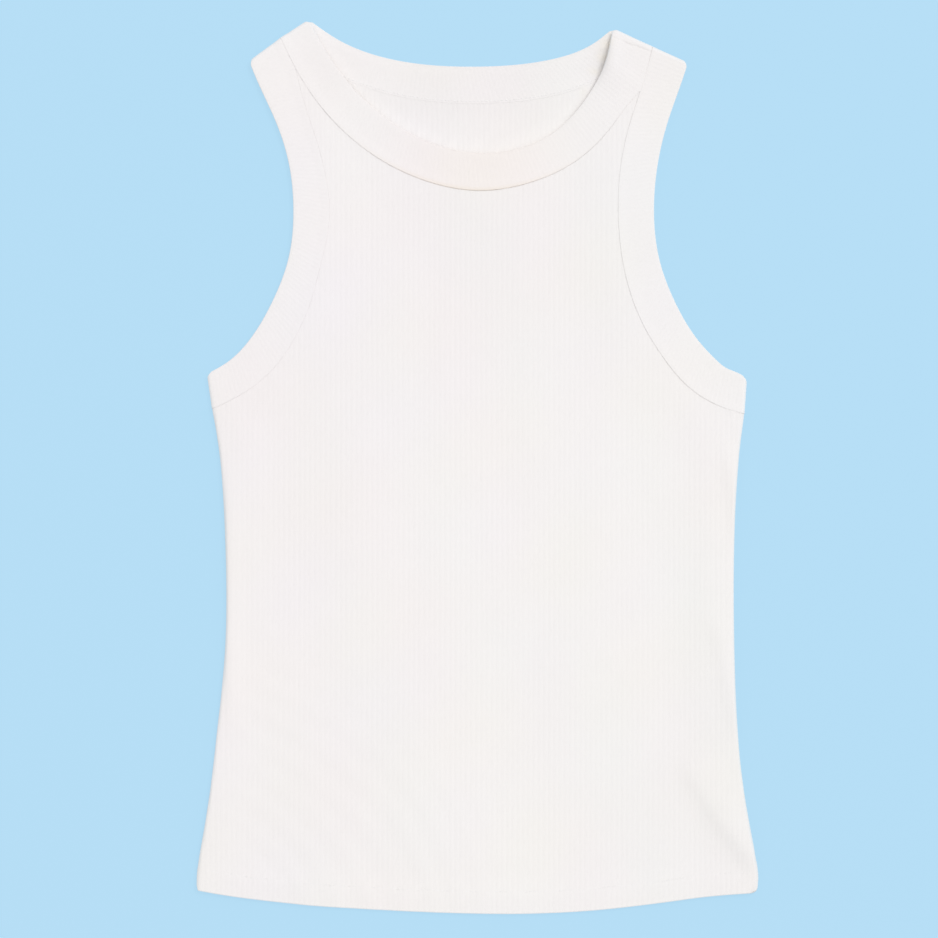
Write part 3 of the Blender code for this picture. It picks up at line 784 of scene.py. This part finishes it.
def laid(cut, points):
    """Where a pattern's points go: the cloth's middle, its outward direction and the depths of both faces."""
    to_seams, to_hem, to_side, along = to_edges(cut, points)
    place, angle, outward, inside = rolled(points)
    to_seam = to_seams.min(0)
    thick = KNIT + HEM_EXTRA * (1 - smooth_step(*HEM_STEP, to_hem))
    bend_height = KNIT / 2 + SIDE_BEND
    share = np.sin(angle)
    if cut.is_front:
        level = FRONT_FLOOR + HEM_LIFT * (1 - smooth_step(*HEM_LIFT_ENDS, to_hem)) + thick / 2
        neck_rise = (FRONT_BAND_LEVEL - NECK_DIP_LEVEL) * smooth_step(*STRAPS_GO_UP, points[:, 1])
        raises = [(bend_height + SIDE_BEND - level) * bump(inside, PANEL_SETTLE)]
        bands = (FRONT_BAND_LEVEL, FRONT_BAND_LEVEL, NECK_DIP_LEVEL + neck_rise)
        seams = zip(bands, cut.seams, FRONT_EDGE_SHAPES, to_seams, along)
        for band, (seam, _), shape, distance, seam_place in seams:
            _, step = edge_shape(shape, seam_place / length_of(seam))
            raises.append((band + FACE_DIFFERENCE - step - level) * bump(distance, PANEL_SETTLE))
        raised = (np.abs(raises) ** RAISE_POWER).sum(0) ** (1 / RAISE_POWER)
        calm = smooth_step(0, WAVE_CLEAR, np.minimum(to_seam, inside))
        folds = crease_height(points) + (wave_height(points) + drape_height(points)) * calm
        height = bend_height + share * (level + raised + folds + pucker_height(to_seams, along) - bend_height)
        turned = share
    else:
        height = bend_height - share * (bend_height - thick / 2)
        turned = -share
    normal = np.column_stack([outward * np.cos(angle)[:, None], turned])
    at_seams = seam_edge(cut, to_seams, along)
    edge = np.minimum.reduce([at_seams, rounded(to_hem, HEM_ROUND), rounded(to_side, CUT_ROUND)])
    clear = smooth_step(0, RIB_CLEAR, np.minimum.reduce([to_seam, to_side, HEM_NEARER * to_hem]))
    groove = HEM_GROOVE * bump(to_hem - HEM_STITCHES, HEM_GROOVE_WIDTH)
    outer = thick / 2 * edge - clear * (rib_relief(points) + groove)
    inner = thick / 2 * edge
    if not cut.is_front:
        allowance = BACK_ALLOWANCE * bump(to_seams[2], BACK_ALLOWANCE_REACH) * edge
        inner += allowance - clear * rib_relief(points, BODY_RIB / 2)
        under_neck = bump(distance_to(points, smooth_curve(NECK_EDGE)), UNDER_NECK_REACH)
        inner += UNDER_NECK_RISE * under_neck * (points[:, 1] < UNDER_NECK_BELOW)
    return np.column_stack([place, height]), normal, outer, inner


def panel(name, is_front, fine, coarse, material):
    """A front or back panel, closed all round. fine and coarse are its outer and inner faces' spacings."""
    cut = cut_panel(is_front)
    beside = edge_rows(cut)
    flat_out, faces_out = triangles(cut, beside, *fine)
    flat_in, faces_in = triangles(cut, beside, *coarse)
    count = len(cut.outline)
    middle, normal, outer, _ = laid(cut, flat_out)
    points_out = middle + normal * outer[:, None]
    middle, normal, _, inner = laid(cut, flat_in)
    points_in = middle - normal * inner[:, None]
    faces_in = np.where(faces_in < count, faces_in, faces_in + len(flat_out) - count)
    if not is_front:
        points_out[:count] = points_in[:count]
    points = np.concatenate([points_out, points_in[count:]])
    flat = np.concatenate([flat_out, flat_in[count:]])
    if is_front:
        faces = np.concatenate([faces_out, faces_in[:, ::-1]])
    else:
        faces = np.concatenate([faces_out[:, ::-1], faces_in])
    # painted light and painted shade on the back's inside at the neck
    shade = 1.0 if is_front else 1 + neck_painted_light_and_shade(flat)
    return cut, cloth_object(name, points, faces.tolist(), flat, material, shade=shade)


# Bands: a ring of sections across a doubled strip


def section_places(width, seam_round, fold_steps, middle_steps, seam_steps):
    """Places across a band, close together round its fold and its sewn edge."""
    turns = (math.pi / 2 * np.arange(steps + 1) / steps for steps in (fold_steps, seam_steps))
    fold, seam = (1 - np.cos(turn) for turn in turns)
    fold, seam = BAND_FOLD_ROUND * fold[1:], width - seam_round * seam[:0:-1]
    return np.concatenate([fold, np.linspace(fold[-1], seam[0], middle_steps + 1)[1:-1], seam]) / width


def band_stations(length, back_length):
    """Places along a band's ring: distances from its left fold, and the angle round the fold."""
    half_turn = np.linspace(math.pi / 2, -math.pi / 2, FOLD_STEPS + 1)
    front = np.linspace(BAND_BEND, length - BAND_BEND, round(length / BAND_STEP_ALONG) + 1)
    back = np.linspace(length - BAND_BEND, BAND_BEND, round(back_length / BAND_STEP_ALONG) + 1)
    inset = BAND_BEND * (1 - np.cos(half_turn[1:-1]))
    place = np.concatenate([front, length - inset, back, inset[::-1]])
    angle = np.concatenate([
        np.full(len(front), math.pi / 2), half_turn[1:-1],
        np.full(len(back), -math.pi / 2), half_turn[-2:0:-1],
    ])
    return place, angle


def band_layer(edge, seam, place, length):
    """The free edge's and the seam's points of one layer of a band, at places along it."""
    share = place / length
    free, sewn = (point_at(c, BAND / 2 + share * (length_of(c) - BAND)) for c in (edge, seam))
    from_fold = np.minimum(place, length - place)
    rounding = CORNER - np.sqrt(CORNER**2 - np.maximum(0, CORNER - from_fold) ** 2)
    across = (sewn - free) / np.linalg.norm(sewn - free, axis=1)[:, None]
    return free + across * rounding[:, None], sewn


def arm_level(from_fold):
    """Height of an armhole band's front, by its distance from a fold."""
    fold_top = BACK_BAND_LEVEL + 2 * BAND_BEND
    return FRONT_BAND_LEVEL + (fold_top - FRONT_BAND_LEVEL) * bump(from_fold, BAND_SETTLE)


def neck_level(from_fold):
    """Height of the neckband's front, which comes down off the back's band on to the back panel."""
    dip = (FRONT_BAND_LEVEL - NECK_DIP_LEVEL) * smooth_step(*NECK_COMES_DOWN, from_fold)
    return arm_level(from_fold) - dip


def outward_normals(middle, far_column, front_middle):
    """A unit vector out of the garment at each point of a band's middle."""
    across = (middle[:, far_column] - middle[:, 0])[:, None]
    along = np.roll(middle, -1, axis=0) - np.roll(middle, 1, axis=0)
    normal = np.cross(np.broadcast_to(across, along.shape), along)
    normal /= np.linalg.norm(normal, axis=2)[..., None]
    return normal * np.sign(normal[front_middle, 0, 2])


def ring_object(name, points, across, along, total, material, shade):
    """A closed ring of closed sections. across and along are the places on the flat cloth."""
    rows, columns = points.shape[:2]
    index = np.arange(rows * columns).reshape(rows, columns)
    ahead, beside = np.roll(index, -1, axis=0), np.roll(index, -1, axis=1)
    both = np.roll(ahead, -1, axis=1)
    faces = np.stack([index, beside, both, ahead], axis=2).reshape(-1, 4)
    flat = points.reshape(-1, 3)
    diagonals = np.cross(flat[faces[:, 2]] - flat[faces[:, 0]], flat[faces[:, 3]] - flat[faces[:, 1]])
    if (diagonals * flat[faces[:, 0]]).sum() < 0:
        faces = faces[:, ::-1]
    place = np.column_stack([np.repeat(along, columns), np.tile(across, rows)])
    return cloth_object(name, flat, faces.tolist(), place, material, total, shade)


def band(name, front, back, level, shape, ridge, material, marks=None, is_neck=False):
    """A band folded at both ends of its front. marks gives the depth of its own grooves at points."""
    seam_round = max(row[1] for row in shape)
    length, back_length = (sum(length_of(curve) for curve in layer) / 2 - BAND for layer in (front, back))
    place, angle = band_stations(length, back_length)
    is_upper = (angle >= 0)[:, None]
    layers = [band_layer(*layer, place, length) for layer in (front, back)]
    free, sewn = (np.where(is_upper, above, below) for above, below in zip(*layers))
    width = np.linalg.norm(sewn - free, axis=1).mean()
    outer = section_places(width, seam_round, *OUTER_SECTION)
    inner = section_places(width, seam_round, *INNER_SECTION)
    across = np.concatenate([[0], outer, [1], inner[::-1]])
    side = np.concatenate([[0], np.ones(len(outer)), [0], -np.ones(len(inner))])

    bend_height = BACK_BAND_LEVEL + BAND_BEND
    lift = np.zeros((len(place), len(across)))
    if is_neck:
        gape = bump(length - place - NECK_GAPE_FROM_FOLD, NECK_GAPE_REACH)[:, None]
        roll = NECK_ROLL * np.maximum(0, 1 - across * width / NECK_ROLL_REACH) ** 2
        lift = gape * (NECK_GAPE * (1 - across) ** NECK_GAPE_POWER - roll)
    top = level(np.minimum(place, length - place))[:, None] - bend_height + lift
    share = np.sin(angle)[:, None]
    height = bend_height + share * np.where(is_upper, top, BAND_BEND)
    flat = free[:, None] + (sewn - free)[:, None] * across[:, None]
    middle = np.concatenate([flat, height[..., None]], axis=2)
    front_middle = round(length / BAND_STEP_ALONG / 2)
    normal = outward_normals(middle, len(outer) + 1, front_middle)

    steps = np.linalg.norm(np.roll(middle, -1, axis=0).mean(1) - middle.mean(1), axis=1)
    total = steps.sum()
    along = np.cumsum(steps) - steps
    pitch = total / round(total / BAND_RIB)
    change, long_wave, short_wave = BAND_RIB_BULK
    bulk = 1 + change * np.sin(along / long_wave) * np.sin(along / short_wave)
    groove = BAND_RELIEF * (bulk * (1 - rib(along, pitch)))[:, None] * np.ones(len(across))
    to_free, to_seam = across * width, (1 - across) * width
    radius, step = (found[:, None] for found in edge_shape(shape, place / length))
    upper = (1 + share) / 2
    radius = BACK_ROUND + (radius - BACK_ROUND) * upper
    least = BACK_EDGE_SHARE + (1 - (step + EDGE_DROP) / (BAND / 2) - BACK_EDGE_SHARE) * upper
    edge = np.minimum(rounded(to_free, BAND_FOLD_ROUND), least + (1 - least) * rounded(to_seam, radius))
    side = np.tile(side, (len(place), 1))
    side[:, len(outer) + 1] = share[:, 0]
    on_top = np.clip(share, 0, 1) * (side > 0)
    depth = BAND / 2 * edge - groove * smooth_step(0, RIB_CLEAR, to_seam)
    depth += ridge[2] * bump(to_seam - ridge[0], ridge[1]) * edge * on_top
    if marks:
        depth -= marks(flat.reshape(-1, 2)).reshape(depth.shape) * on_top
    points = middle + normal * (side * depth)[..., None]
    inward = (sewn - free) / np.linalg.norm(sewn - free, axis=1)[:, None]
    points[:, 0, :2] += inward * groove[:, :1]
    scale = BODY_RIB / pitch
    shade = 1.0
    if is_neck:
        upper = upper * np.ones(len(across))
        from_seam, from_middle = SEAM_PAINTED_SHADE_REACH
        # painted shadow in the seam groove, strongest at the middle of the neckband's front
        seam_shade = bump(to_seam, from_seam) * bump(place - length / 2, from_middle)[:, None] * upper
        warm = bump(place - length / 2, NECK_WARMTH_REACH)[:, None] * upper
        # on the back layer: painted light along the free edge and painted shade inside the gape
        glow = neck_painted_light_and_shade(flat.reshape(-1, 2)) * (1 - upper).reshape(-1, 1)
        # painted shade on the rolled free edge above the gape
        glow -= GAPE_EDGE_PAINTED_SHADE * (bump(to_free, GAPE_EDGE_REACH) * gape * upper).reshape(-1, 1)
        shade = 1 - seam_shade.reshape(-1, 1) * SEAM_PAINTED_SHADE + warm.reshape(-1, 1) * NECK_WARMTH + glow
    return ring_object(name, points, to_free, along * scale, total * scale, material, shade)


# The neckband's join near the right shoulder


def join_depth(points):
    """Depth of the groove where the neckband's two ends are sewn together, and of its gaps."""
    (x0, y0), (x1, y1) = NECK_JOIN
    start, run = np.array((x0, y0)), np.array((x1 - x0, y1 - y0))
    share = np.clip((points - start) @ run / (run @ run), 0, 1)
    away = np.linalg.norm(points - start - share[:, None] * run, axis=1)
    depth = JOIN_DEPTH * bump(away, JOIN_WIDTH)
    for x, y, reach, gap_depth in JOIN_GAPS:
        depth += gap_depth * bump(away, JOIN_WIDTH) * spot(points, x, y, reach)
    return depth + dent_depth(points)


def dent_depth(points):
    """Depth of the dents beside the left shoulder's fold."""
    total = np.zeros(len(points))
    for x, y, reach, depth in SHOULDER_DENTS:
        total += depth * spot(points, x, y, reach)
    return total


# Thread


def thread_object(name, starts, ends, radius, sink, material, slot):
    """Short stitches, each a rounded tube from its start to its end, whose ends dip into the cloth."""
    turn = np.arange(THREAD_SIDES) * 2 * math.pi / THREAD_SIDES
    ring = np.column_stack([np.cos(turn), np.sin(turn)])
    run = ends - starts
    ahead = run / np.linalg.norm(run, axis=1)[:, None]
    beside = np.cross(ahead, (0, 0, 1.0))
    beside /= np.linalg.norm(beside, axis=1)[:, None]
    above = np.cross(beside, ahead)
    rings = []
    for share, thickness in THREAD_PROFILE:
        centre = starts + share * run - np.array((0, 0, sink)) * (2 * share - 1) ** 2
        for c, s in ring:
            rings.append(centre + radius * thickness * (c * beside + s * above))
    points = np.stack(rings, axis=1)
    count, size = points.shape[:2]
    sides = range(THREAD_SIDES)
    faces = []
    for first in range(0, count * size, size):
        last = first + size - THREAD_SIDES
        faces.append([first + k for k in sides][::-1])
        for row in range(first, last, THREAD_SIDES):
            pairs = [(row + k, row + (k + 1) % THREAD_SIDES) for k in sides]
            faces += [[a, b, b + THREAD_SIDES, a + THREAD_SIDES] for a, b in pairs]
        faces.append([last + k for k in sides])
    flat = points.reshape(-1, 3)
    return cloth_object(name, flat, faces, flat[:, :2], material)


def hem_stitches(name, cut, material):
    """The row of stitches that holds a panel's hem, on its outer face."""
    hem = cut.hem[1:-1] + (0, HEM_STITCHES)
    places = np.arange(HEM_STITCH_INSET, length_of(hem) - HEM_STITCH_INSET, HEM_STITCH_PITCH)
    jitter = np.random.RandomState(3).uniform(-1, 1, (2, len(places)))
    ends = []
    for share in (0.0, HEM_STITCH_SHARE):
        flat = point_at(hem, places + share * HEM_STITCH_PITCH) + jitter.T * HEM_STITCH_JITTER
        middle, normal, outer, _ = laid(cut, flat)
        ends.append(middle + normal * outer[:, None])
    sink = HEM_STITCH_SINK if cut.is_front else -HEM_STITCH_SINK
    return thread_object(name, *ends, HEM_STITCH_RADIUS, sink, material, "body_rib")


def neck_stitches(name, material):
    """The overlocked seam inside the back neck: a line of stitches on the band, short ones over the seam."""
    seam = smooth_curve(BACK_NECK_SEAM)
    places = np.arange(NECK_STITCH_INSET, length_of(seam) - NECK_STITCH_INSET, NECK_STITCH_PITCH)
    jitter = np.random.RandomState(4).uniform(-1, 1, (3, len(places))) * NECK_STITCH_JITTER
    band_top = BAND + NECK_STITCH_RADIUS / 2
    starts, ends = [], []
    line = shifted(seam, NECK_STITCH_RISE)
    for share, found in ((0, starts), (NECK_STITCH_SHARE, ends)):
        flat = point_at(line, places + share * NECK_STITCH_PITCH + jitter[0])
        found.append(np.column_stack([flat, np.full(len(flat), band_top)]))
    over = np.arange(len(places)) % 2 == 0
    upper = point_at(shifted(seam, NECK_STITCH_RISE - OVERLOCK_INSET), places + jitter[1])[over]
    lower = point_at(shifted(seam, -NECK_STITCH_DROP), places + jitter[2] + NECK_STITCH_LEAN)[over]
    starts.append(np.column_stack([upper, np.full(len(upper), band_top - OVERLOCK_SINK)]))
    ends.append(np.column_stack([lower, np.full(len(lower), KNIT + NECK_STITCH_RADIUS / 2)]))
    starts, ends = np.concatenate(starts), np.concatenate(ends)
    return thread_object(name, starts, ends, NECK_STITCH_RADIUS, NECK_STITCH_RADIUS, material, "band_rib")


# Materials


class Nodes:
    """Short calls that add nodes to a material's tree and link them."""

    def __init__(self, name):
        self.material = bpy.data.materials.new(name)
        self.material.use_nodes = True
        self.tree = self.material.node_tree
        self.shader = self.tree.nodes["Principled BSDF"]
        self.output = self.tree.nodes["Material Output"]

    def fill(self, node, inputs):
        """Links or sets a node's inputs, by name or number."""
        for key, value in inputs.items():
            if isinstance(value, bpy.types.NodeSocket):
                self.tree.links.new(value, node.inputs[key])
            else:
                node.inputs[key].default_value = value

    def add(self, kind, inputs={}, **settings):
        node = self.tree.nodes.new(kind)
        for key, value in settings.items():
            setattr(node, key, value)
        self.fill(node, inputs)
        return node

    def place(self):
        return self.add("ShaderNodeTexCoord").outputs["Object"]

    def math(self, operation, *values):
        return self.add("ShaderNodeMath", dict(enumerate(values)), operation=operation).outputs[0]

    def noise(self, vector, scale, detail=2.0, roughness=0.5):
        inputs = {"Vector": vector, "Scale": scale, "Detail": detail, "Roughness": roughness}
        return self.add("ShaderNodeTexNoise", inputs).outputs["Fac"]

    def blend(self, share, first, second, way="MIX"):
        """Two colours mixed or multiplied, each a socket or its red, green and blue."""
        first, second = (c if isinstance(c, bpy.types.NodeSocket) else (*c, 1.0) for c in (first, second))
        inputs = {"Factor": share, "A": first, "B": second}
        return self.add("ShaderNodeMix", inputs, data_type="RGBA", blend_type=way).outputs["Result"]

    def mottled(self, patches, colour, mottle):
        return self.blend(patches, colour, [c * (1 - mottle) for c in colour])

    def relief(self, height, strength, depth):
        inputs = {"Strength": strength, "Distance": depth * MM, "Height": height}
        return self.add("ShaderNodeBump", inputs).outputs[0]


def knit_height(nodes, across, along):
    """Height of the stitches of a knit: rows of upright loops, each pair of loops a V."""
    wale = nodes.math("MULTIPLY", across, WALES / (BODY_RIB * MM))
    from_middle = nodes.math("PINGPONG", wale, 0.5)
    course = nodes.math("MULTIPLY", along, 1 / (COURSE * MM))
    slant = nodes.math("MULTIPLY_ADD", from_middle, STITCH_SLANT, course)
    loops = nodes.math("SINE", nodes.math("MULTIPLY", slant, 2 * math.pi))
    column = nodes.math("SINE", nodes.math("MULTIPLY", from_middle, 2 * math.pi))
    return nodes.math("MULTIPLY", column, nodes.math("MULTIPLY_ADD", loops, *STITCH_LOOPS))


def cloth_material(name, colour):
    """White cotton rib: stitches and fuzz in relief, faint mottling and a soft sheen."""
    nodes = Nodes(name)
    solid = nodes.place()
    flat = nodes.add("ShaderNodeUVMap", uv_map="cloth").outputs[0]
    across, along, _ = nodes.add("ShaderNodeSeparateXYZ", {0: flat}).outputs
    fuzz = nodes.noise(solid, *FUZZ)
    height = nodes.math("MULTIPLY_ADD", fuzz, FUZZ_HEIGHT, knit_height(nodes, across, along))
    tone = nodes.add("ShaderNodeAttribute", attribute_name="tone").outputs["Color"]
    toned = nodes.blend(1.0, nodes.mottled(nodes.noise(solid, *PATCHES), colour, MOTTLE), tone, "MULTIPLY")
    inputs = {
        "Base Color": nodes.blend(nodes.noise(solid, *SPECKLES), toned, (1 - SPECKLE,) * 3, "MULTIPLY"),
        "Normal": nodes.relief(height, RELIEF_STRENGTH, KNIT_DEPTH),
        "Roughness": nodes.math("MULTIPLY_ADD", fuzz, *ROUGHNESS),
    }
    nodes.fill(nodes.shader, inputs | CLOTH_FINISH)
    return nodes.material


def thread_material(name):
    """Spun thread: fine twist and a little more gloss than the cloth."""
    nodes = Nodes(name)
    solid = nodes.place()
    strands = nodes.add("ShaderNodeTexWave", {"Vector": solid} | STRANDS).outputs["Fac"]
    tone = nodes.mottled(nodes.noise(solid, THREAD_PATCHES), THREAD, THREAD_MOTTLE)
    relief = nodes.relief(strands, *THREAD_RELIEF)
    nodes.fill(nodes.shader, {"Base Color": tone, "Normal": relief, "Roughness": THREAD_ROUGHNESS})
    return nodes.material


def floor_material():
    """A pale, even floor that lights itself enough to keep shadows faint."""
    nodes = Nodes("floor_paint")
    tone = nodes.mottled(nodes.noise(nodes.place(), FLOOR_PATCHES), FLOOR, FLOOR_MOTTLE)
    glow = nodes.add("ShaderNodeEmission", {"Color": tone, "Strength": FLOOR_GLOW}).outputs[0]
    matt = nodes.add("ShaderNodeBsdfDiffuse", {"Color": tone}).outputs[0]
    mixed = nodes.add("ShaderNodeMixShader", {0: FLOOR_GLOW_SHARE, 1: matt, 2: glow}).outputs[0]
    nodes.fill(nodes.output, {"Surface": mixed})
    nodes.tree.nodes.remove(nodes.shader)
    return nodes.material


# Floor, light and camera


def make_stage():
    bpy.ops.mesh.primitive_grid_add(x_subdivisions=FLOOR_CELLS, y_subdivisions=FLOOR_CELLS, size=FLOOR_SIZE)
    floor = bpy.context.object
    floor.name = "floor"
    floor.location = (0, 0, CAD_LOW.z)
    floor.data.materials.append(floor_material())

    scene = bpy.context.scene
    scene.world = bpy.data.worlds.new("studio")
    scene.world.use_nodes = True
    sky = scene.world.node_tree.nodes["Background"]
    sky.inputs["Color"].default_value = (*SKY, 1.0)
    sky.inputs["Strength"].default_value = SKY_STRENGTH

    lamp = bpy.data.lights.new("key", "AREA")
    lamp.shape, lamp.size, lamp.energy, lamp.color = "DISK", KEY_SIZE, KEY_POWER, KEY_COLOUR
    holder = bpy.data.objects.new("key", lamp)
    azimuth, elevation, distance = KEY_LIGHT
    a, e = math.radians(azimuth), math.radians(elevation)
    aim = Vector((math.cos(a) * math.cos(e), math.sin(a) * math.cos(e), math.sin(e)))
    holder.location = (CAD_LOW + CAD_HIGH) / 2 + aim * distance
    holder.rotation_euler = aim.to_track_quat("Z", "Y").to_euler()
    scene.collection.objects.link(holder)

    scene.view_settings.view_transform = "Standard"
    scene.view_settings.look = "None"


def make_camera():
    """Straight down on the garment, which fills the picture as in a product photograph."""
    camera = bpy.data.cameras.new("camera")
    camera.lens = LENS
    camera.sensor_width = SENSOR
    holder = bpy.data.objects.new("camera", camera)
    length = CAD_HIGH.y - CAD_LOW.y
    centre = (CAD_LOW + CAD_HIGH) / 2
    distance = length * FRAME_TO_LENGTH * LENS / SENSOR
    x, y = (centre[k] + OFF_CENTRE[k] * length for k in (0, 1))
    holder.location = (x, y, FRONT_TOP * MM + distance)
    camera.clip_end = CLIP_END
    bpy.context.scene.collection.objects.link(holder)
    bpy.context.scene.camera = holder


def stand_for(piece, node):
    """Puts a piece in the place of its CAD solid and hides that solid."""
    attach(piece, BODY)
    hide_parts(node)


def build():
    body = cloth_material("body_rib_knit", CLOTH)
    trim = cloth_material("band_rib_knit", TRIM)
    thread = thread_material("sewing_thread")

    behind = (SEAM_SPACING, BACK_ALONG)
    back_cut, back = panel("back_panel_cloth", False, behind, behind, body)
    front_cut, front = panel("front_panel_cloth", True, (SEAM_SPACING, FRONT_ALONG), INSIDE_LATTICE, body)
    left = (smooth_curve(ARM_EDGE_LEFT), left_arm_seam())
    right = (smooth_curve(ARM_EDGE_RIGHT), smooth_curve(ARM_SEAM_RIGHT))
    left_band = band(
        "armband_left_cloth", left, left, arm_level, ARM_LEFT_EDGE_SHAPE, ARM_RIDGE, trim, marks=dent_depth
    )
    right_band = band("armband_right_cloth", right, right, arm_level, ARM_RIGHT_EDGE_SHAPE, ARM_RIDGE, trim)
    neck_front = (smooth_curve(NECK_EDGE), front_neck_seam())
    neck_back = (smooth_curve(BACK_NECK_EDGE), smooth_curve(BACK_NECK_SEAM))
    neckband = band(
        "neckband_cloth", neck_front, neck_back, neck_level, FRONT_NECK_EDGE_SHAPE, NECK_RIDGE, trim,
        join_depth, is_neck=True,
    )

    front_hem = hem_stitches("front_hem_stitches", front_cut, thread)
    back_hem = hem_stitches("back_hem_stitches", back_cut, thread)
    overlock = neck_stitches("back_neck_stitches", thread)
    for threads in (front_hem, back_hem, overlock):
        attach(threads, BODY)

    stand_for(back, "back_panel")
    stand_for(front, "front_panel")
    stand_for(neckband, "neckband")
    stand_for(left_band, "armband_left")
    stand_for(right_band, "armband_right")


make_stage()
make_camera()
build()
